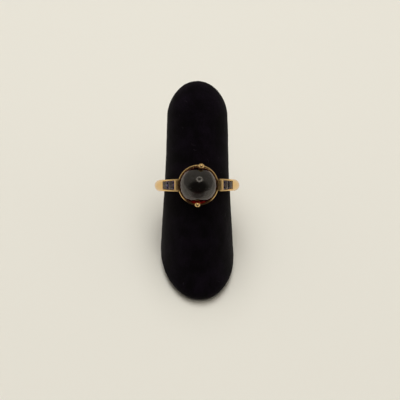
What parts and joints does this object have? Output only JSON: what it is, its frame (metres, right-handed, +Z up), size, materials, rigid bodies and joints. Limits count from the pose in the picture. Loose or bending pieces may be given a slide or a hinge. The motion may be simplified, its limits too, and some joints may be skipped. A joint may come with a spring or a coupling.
{
  "type": "gemstone ring on a display stand",
  "caption": "Gold ring with a round high-domed cabochon held by ball-tipped claws and step-cut stones in its shoulders, on a slanted finger-shaped velvet stand.",
  "frame": {"origin": "on the floor under the middle of the whole assembly's box", "axes": "+Z up, +Y to the rear, the way the stand leans back and up, +X to the right as seen from the front"},
  "size_m": [0.0198, 0.0422, 0.0324],
  "materials": {
    "gold": "polished yellow gold",
    "garnet": "polished, nearly black with a deep red body",
    "sapphire": "polished, very dark blue",
    "velvet": "black velvet"
  },
  "bodies": {
    "root": {"ring_mount": "gold", "garnet_cabochon": "garnet", "left_outer_sapphire": "sapphire", "left_inner_sapphire": "sapphire", "right_inner_sapphire": "sapphire", "right_outer_sapphire": "sapphire", "display_stand": "velvet"}
  },
  "joints": []
}
